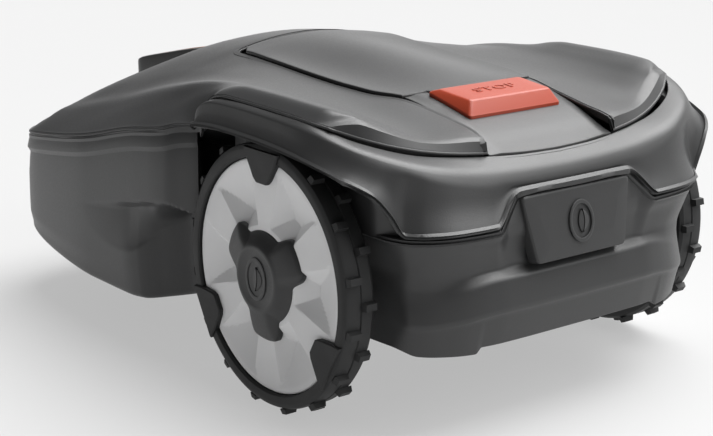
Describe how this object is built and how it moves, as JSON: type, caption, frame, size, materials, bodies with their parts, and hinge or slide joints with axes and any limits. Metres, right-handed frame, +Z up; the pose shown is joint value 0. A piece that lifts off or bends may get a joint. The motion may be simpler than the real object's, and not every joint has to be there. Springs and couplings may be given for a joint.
{
  "type": "robotic lawn mower",
  "caption": "Robotic lawn mower with a floating two-part body over a sealed chassis, driven rear wheels, front castors, a lift-up hatch, a stop button and a height-adjustable disc cutter.",
  "frame": {"origin": "on the ground, below the middle of the mower's box", "axes": "+X towards the nose, +Y to the left side, +Z up"},
  "size_m": [0.568, 0.38, 0.2435],
  "materials": {
    "shell_plastic": "fine-grained moulded ASA, dark grey",
    "hatch_plastic": "fine-grained moulded ASA, dark grey",
    "stop_plastic": "satin orange-red moulded plastic",
    "rim_plastic": "satin light grey moulded plastic",
    "cap_plastic": "satin dark moulded plastic",
    "tyre_rubber": "hard black rubber",
    "castor_plastic": "moulded nylon",
    "chassis_plastic": "glass-filled black plastic",
    "gasket_rubber": "soft black foam rubber",
    "steel": "turned steel",
    "screw_steel": "zinc-plated steel",
    "blade_steel": "ground carbon steel",
    "motor_can": "phosphated steel can",
    "copper": "copper contact strip",
    "board": "green circuit board",
    "battery_wrap": "shrink-wrapped cell pack",
    "key_plastic": "soft-touch moulded plastic",
    "display_glass": "clear display window",
    "knob_plastic": "satin orange moulded plastic"
  },
  "bodies": {
    "chassis": {"lower_chassis": "chassis_plastic", "upper_chassis": "chassis_plastic", "chassis_gasket": "gasket_rubber", "chassis_screws": "screw_steel", "battery_pack": "battery_wrap", "battery_cover": "chassis_plastic", "battery_cover_screws": "screw_steel", "main_board": "board", "keypad_board": "board", "control_console": "cap_plastic", "display_window": "display_glass", "left_gear_motor": "motor_can", "right_gear_motor": "motor_can"},
    "power_key": {"power_key": "key_plastic"},
    "start_key": {"start_key": "key_plastic"},
    "home_key": {"home_key": "key_plastic"},
    "timer_key": {"timer_key": "key_plastic"},
    "ok_key": {"ok_key": "key_plastic"},
    "height_knob": {"height_knob": "knob_plastic", "height_spindle": "steel"},
    "cut_carriage": {"motor_carrier": "chassis_plastic", "blade_motor": "motor_can"},
    "cutter": {"cutter_disc": "castor_plastic", "motor_shaft": "steel", "blade_screws": "screw_steel", "skid_bearing": "steel"},
    "blade_1": {"blade_1": "blade_steel"},
    "blade_2": {"blade_2": "blade_steel"},
    "blade_3": {"blade_3": "blade_steel"},
    "skid_plate": {"skid_plate": "castor_plastic"},
    "left_wheel": {"left_tyre": "tyre_rubber", "left_wheel_disc": "rim_plastic", "left_hub_cap": "cap_plastic", "left_axle": "steel", "left_wheel_screw": "screw_steel"},
    "right_wheel": {"right_tyre": "tyre_rubber", "right_wheel_disc": "rim_plastic", "right_hub_cap": "cap_plastic", "right_axle": "steel", "right_wheel_screw": "screw_steel"},
    "left_castor": {"left_castor_fork": "castor_plastic", "left_castor_pin": "steel"},
    "right_castor": {"right_castor_fork": "castor_plastic", "right_castor_pin": "steel"},
    "left_castor_wheel": {"left_castor_wheel": "castor_plastic"},
    "right_castor_wheel": {"right_castor_wheel": "castor_plastic"},
    "sway_bushes": {"suspension_bushes": "gasket_rubber"},
    "shift_posts": {"suspension_posts": "castor_plastic"},
    "shell": {"top_cover": "shell_plastic", "fender_ring": "shell_plastic", "front_body": "shell_plastic", "rear_bumper": "shell_plastic", "rear_badge": "shell_plastic", "stop_panel": "shell_plastic", "contact_block": "cap_plastic", "contact_strips": "copper", "hatch_pin": "steel"},
    "hatch": {"hatch": "hatch_plastic"},
    "stop_button": {"stop_button": "stop_plastic"}
  },
  "joints": [
    {"name": "power_key_press", "type": "slide", "parent": "chassis", "child": "power_key", "axis": [0, 0, -1], "range_m": [0, 0.0015], "stiffness_N_per_m": 400, "springref_m": -0.0005},
    {"name": "start_key_press", "type": "slide", "parent": "chassis", "child": "start_key", "axis": [0, 0, -1], "range_m": [0, 0.0015], "stiffness_N_per_m": 400, "springref_m": -0.0005},
    {"name": "home_key_press", "type": "slide", "parent": "chassis", "child": "home_key", "axis": [0, 0, -1], "range_m": [0, 0.0015], "stiffness_N_per_m": 400, "springref_m": -0.0005},
    {"name": "timer_key_press", "type": "slide", "parent": "chassis", "child": "timer_key", "axis": [0, 0, -1], "range_m": [0, 0.0015], "stiffness_N_per_m": 400, "springref_m": -0.0005},
    {"name": "ok_key_press", "type": "slide", "parent": "chassis", "child": "ok_key", "axis": [0, 0, -1], "range_m": [0, 0.0015], "stiffness_N_per_m": 400, "springref_m": -0.0005},
    {"name": "height_turn", "type": "hinge", "parent": "chassis", "child": "height_knob", "pos_m": [0.016, 0, 0.2], "axis": [0, 0, 1], "range_deg": [0, 270]},
    {"name": "height_slide", "type": "slide", "parent": "chassis", "child": "cut_carriage", "axis": [0, 0, 1], "range_m": [0, 0.03]},
    {"name": "cutter_spin", "type": "hinge", "parent": "cut_carriage", "child": "cutter", "pos_m": [0.016, 0, 0.03], "axis": [0, 0, 1], "continuous": true},
    {"name": "blade_1_swing", "type": "hinge", "parent": "cutter", "child": "blade_1", "pos_m": [0.016, 0.08, 0.0238], "axis": [0, 0, 1], "continuous": true},
    {"name": "blade_2_swing", "type": "hinge", "parent": "cutter", "child": "blade_2", "pos_m": [-0.05328, -0.04, 0.0238], "axis": [0, 0, 1], "continuous": true},
    {"name": "blade_3_swing", "type": "hinge", "parent": "cutter", "child": "blade_3", "pos_m": [0.08528, -0.04, 0.0238], "axis": [0, 0, 1], "continuous": true},
    {"name": "skid_spin", "type": "hinge", "parent": "cutter", "child": "skid_plate", "pos_m": [0.016, 0, 0.016], "axis": [0, 0, 1], "continuous": true},
    {"name": "left_wheel_spin", "type": "hinge", "parent": "chassis", "child": "left_wheel", "pos_m": [-0.143, 0.17, 0.103], "axis": [0, 1, 0], "continuous": true},
    {"name": "left_castor_swivel", "type": "hinge", "parent": "chassis", "child": "left_castor", "pos_m": [0.184, 0.1, 0.1], "axis": [0, 0, 1], "continuous": true},
    {"name": "left_castor_spin", "type": "hinge", "parent": "left_castor", "child": "left_castor_wheel", "pos_m": [0.156, 0.1, 0.037], "axis": [0, 1, 0], "continuous": true},
    {"name": "right_wheel_spin", "type": "hinge", "parent": "chassis", "child": "right_wheel", "pos_m": [-0.143, -0.17, 0.103], "axis": [0, 1, 0], "continuous": true},
    {"name": "right_castor_swivel", "type": "hinge", "parent": "chassis", "child": "right_castor", "pos_m": [0.184, -0.1, 0.1], "axis": [0, 0, 1], "continuous": true},
    {"name": "right_castor_spin", "type": "hinge", "parent": "right_castor", "child": "right_castor_wheel", "pos_m": [0.156, -0.1, 0.037], "axis": [0, 1, 0], "continuous": true},
    {"name": "shell_sway", "type": "slide", "parent": "chassis", "child": "sway_bushes", "axis": [0, 1, 0], "range_m": [-0.003, 0.003], "stiffness_N_per_m": 4000},
    {"name": "shell_shift", "type": "slide", "parent": "sway_bushes", "child": "shift_posts", "axis": [1, 0, 0], "range_m": [-0.006, 0.006], "stiffness_N_per_m": 3000},
    {"name": "shell_lift", "type": "slide", "parent": "shift_posts", "child": "shell", "axis": [0, 0, 1], "range_m": [0, 0.008]},
    {"name": "hatch_open", "type": "hinge", "parent": "shell", "child": "hatch", "pos_m": [0.056, 0, 0.23219], "axis": [0, 1, 0], "range_deg": [0, 65]},
    {"name": "stop_press", "type": "slide", "parent": "shell", "child": "stop_button", "axis": [0, 0, -1], "range_m": [0, 0.004], "stiffness_N_per_m": 1500, "springref_m": -0.002}
  ],
  "couplings": [
    {"joint": "height_turn", "follows": "height_slide", "rad_per_m": 157.08}
  ]
}
